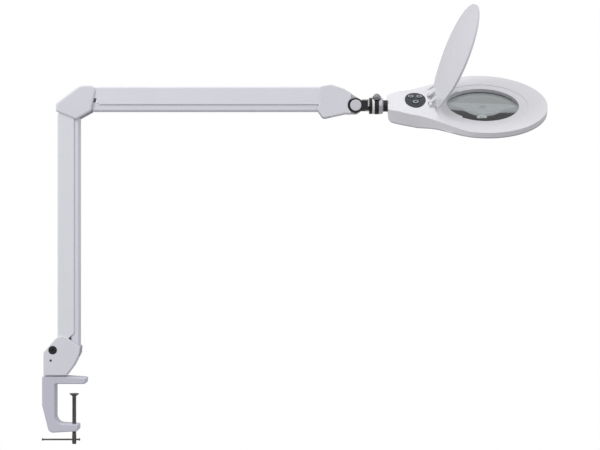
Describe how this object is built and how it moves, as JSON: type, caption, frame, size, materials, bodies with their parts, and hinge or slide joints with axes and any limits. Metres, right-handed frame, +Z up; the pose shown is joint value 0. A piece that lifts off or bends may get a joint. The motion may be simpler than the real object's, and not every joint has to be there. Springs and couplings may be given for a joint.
{
  "type": "magnifying lamp",
  "caption": "Clamp-on magnifying lamp: two parallelogram spring arms, tilting and rolling ring-light head with a round lens, hinged lens lid and push-button panel.",
  "frame": {"origin": "underside of the clamp's upper jaw (the table top it rests on), on the clamp screw's axis", "axes": "+X along the upper arm towards the head, +Z up along the clamp screw, +Y towards the side away from the clamp knuckle's locking screw"},
  "size_m": [0.8381, 0.2269, 0.7242],
  "materials": {
    "clamp_paint": "powder coat, light grey",
    "arm_paint": "powder coat, off-white",
    "rail_paint": "powder coat, off-white",
    "knuckle_plastic": "moulded, off-white, fine texture",
    "core_plastic": "moulded, grey-white",
    "white_plastic": "moulded, white, fine texture",
    "gloss_white": "moulded, white, glossy",
    "grey_plastic": "moulded, grey",
    "panel_plastic": "dark slate, semi-gloss",
    "button_plastic": "dark slate, satin",
    "black_metal": "black satin paint",
    "steel": "bright zinc plate",
    "dark_steel": "blackened steel",
    "spring_steel": "spring wire",
    "nylon": "white nylon",
    "bronze": "sintered bronze",
    "lens_glass": "optical glass, polished",
    "diffuser": "milky diffuser",
    "board_white": "white solder mask",
    "board_green": "green solder mask",
    "led": "phosphor yellow",
    "indicator_lens": "dark clear"
  },
  "bodies": {
    "clamp": {"clamp_frame": "clamp_paint", "swivel_washer": "nylon"},
    "pad": {"pressure_pad": "dark_steel"},
    "screw": {"clamp_screw": "dark_steel"},
    "bar": {"tommy_bar": "dark_steel"},
    "base": {"base_cover_front": "knuckle_plastic", "base_cover_back": "knuckle_plastic", "base_core": "core_plastic", "swivel_spigot": "steel", "knuckle_screw": "black_metal", "knuckle_nut": "steel", "set_screw": "dark_steel", "base_pins": "steel"},
    "lower_outer": {"lower_arm_cover": "arm_paint", "lower_cover_anchor": "steel", "lower_springs": "spring_steel"},
    "lower_inner": {"lower_arm_rail": "rail_paint", "lower_rail_anchor": "steel"},
    "elbow": {"elbow_cover_front": "knuckle_plastic", "elbow_cover_back": "knuckle_plastic", "elbow_core": "core_plastic", "elbow_pins": "steel"},
    "upper_outer": {"upper_arm_cover": "arm_paint", "upper_cover_anchor": "steel", "upper_springs": "spring_steel"},
    "upper_inner": {"upper_arm_rail": "rail_paint", "upper_rail_anchor": "steel"},
    "head_knuckle": {"head_knuckle_cover_front": "knuckle_plastic", "head_knuckle_cover_back": "knuckle_plastic", "head_core": "core_plastic", "head_pins": "steel", "tilt_bush": "bronze"},
    "tilt": {"tilt_fork": "black_metal", "tilt_bolt": "steel", "tilt_washers": "nylon", "tilt_caps": "gloss_white", "fork_plate": "steel", "roll_stub": "steel", "roll_flange": "black_metal", "roll_washer": "nylon"},
    "head": {"roll_collar": "black_metal", "collar_cap": "steel", "collar_screw": "steel", "head_neck": "black_metal", "head_top_shell": "white_plastic", "head_bottom_cover": "grey_plastic", "housing_screws": "dark_steel", "lens": "lens_glass", "lens_ring": "grey_plastic", "light_diffuser": "diffuser", "led_board": "board_white", "led_chips": "led", "control_board": "board_green", "control_panel": "panel_plastic", "indicator": "indicator_lens", "lid_pin": "steel"},
    "lid": {"lid": "gloss_white"},
    "button_left": {"button_left": "button_plastic"},
    "button_right": {"button_right": "button_plastic"},
    "button_front": {"button_front": "button_plastic"}
  },
  "joints": [
    {"name": "pad_travel", "type": "slide", "parent": "clamp", "child": "pad", "axis": [0, 0, 1], "range_m": [-0.04375, 0.00875]},
    {"name": "screw_spin", "type": "hinge", "parent": "pad", "child": "screw", "pos_m": [0, 0, -0.06], "axis": [0, 0, 1], "range_deg": [-12602, 2522]},
    {"name": "tommy_slide", "type": "slide", "parent": "screw", "child": "bar", "axis": [1, 0, 0], "range_m": [-0.0041, 0.0477]},
    {"name": "base_swivel", "type": "hinge", "parent": "clamp", "child": "base", "pos_m": [-0.0375, 0, 0.014], "axis": [0, 0, 1], "continuous": true},
    {"name": "lower_arm", "type": "hinge", "parent": "base", "child": "lower_outer", "pos_m": [-0.0169, 0, 0.0625], "axis": [0, 1, 0], "range_deg": [-20, 55], "deforming": ["lower_springs"]},
    {"name": "lower_rail", "type": "hinge", "parent": "base", "child": "lower_inner", "pos_m": [0.0026, 0, 0.0544], "axis": [0, 1, 0], "range_deg": [-20, 55]},
    {"name": "elbow_level", "type": "hinge", "parent": "lower_outer", "child": "elbow", "pos_m": [-0.0169, 0, 0.4565], "axis": [0, 1, 0], "range_deg": [-55, 20]},
    {"name": "upper_arm", "type": "hinge", "parent": "elbow", "child": "upper_outer", "pos_m": [0.027, 0, 0.4805], "axis": [0, 1, 0], "range_deg": [-45, 60], "deforming": ["upper_springs"]},
    {"name": "upper_rail", "type": "hinge", "parent": "elbow", "child": "upper_inner", "pos_m": [0.024, 0, 0.4579], "axis": [0, 1, 0], "range_deg": [-45, 60]},
    {"name": "head_level", "type": "hinge", "parent": "upper_outer", "child": "head_knuckle", "pos_m": [0.421, 0, 0.4805], "axis": [0, 1, 0], "range_deg": [-60, 45]},
    {"name": "head_tilt", "type": "hinge", "parent": "head_knuckle", "child": "tilt", "pos_m": [0.4666, 0, 0.46], "axis": [0, 1, 0], "range_deg": [-35, 85]},
    {"name": "head_roll", "type": "hinge", "parent": "tilt", "child": "head", "pos_m": [0.5, 0, 0.46], "axis": [1, 0, 0], "range_deg": [-120, 60]},
    {"name": "lid_hinge", "type": "hinge", "parent": "head", "child": "lid", "pos_m": [0.5905, -0.006, 0.47039], "axis": [0, 0.866, 0.5], "range_deg": [-22, 68]},
    {"name": "press_left", "type": "slide", "parent": "head", "child": "button_left", "axis": [0, 0.5, -0.866], "range_m": [0, 0.0006], "stiffness_N_per_m": 400, "springref_m": -0.001},
    {"name": "press_right", "type": "slide", "parent": "head", "child": "button_right", "axis": [0, 0.5, -0.866], "range_m": [0, 0.0006], "stiffness_N_per_m": 400, "springref_m": -0.001},
    {"name": "press_front", "type": "slide", "parent": "head", "child": "button_front", "axis": [0, 0.5, -0.866], "range_m": [0, 0.0006], "stiffness_N_per_m": 400, "springref_m": -0.001}
  ],
  "couplings": [
    {"joint": "screw_spin", "follows": "pad_travel", "rad_per_m": 5026.5},
    {"joint": "lower_rail", "follows": "lower_arm", "ratio": 1},
    {"joint": "elbow_level", "follows": "lower_arm", "ratio": -1},
    {"joint": "upper_rail", "follows": "upper_arm", "ratio": 1},
    {"joint": "head_level", "follows": "upper_arm", "ratio": -1}
  ]
}
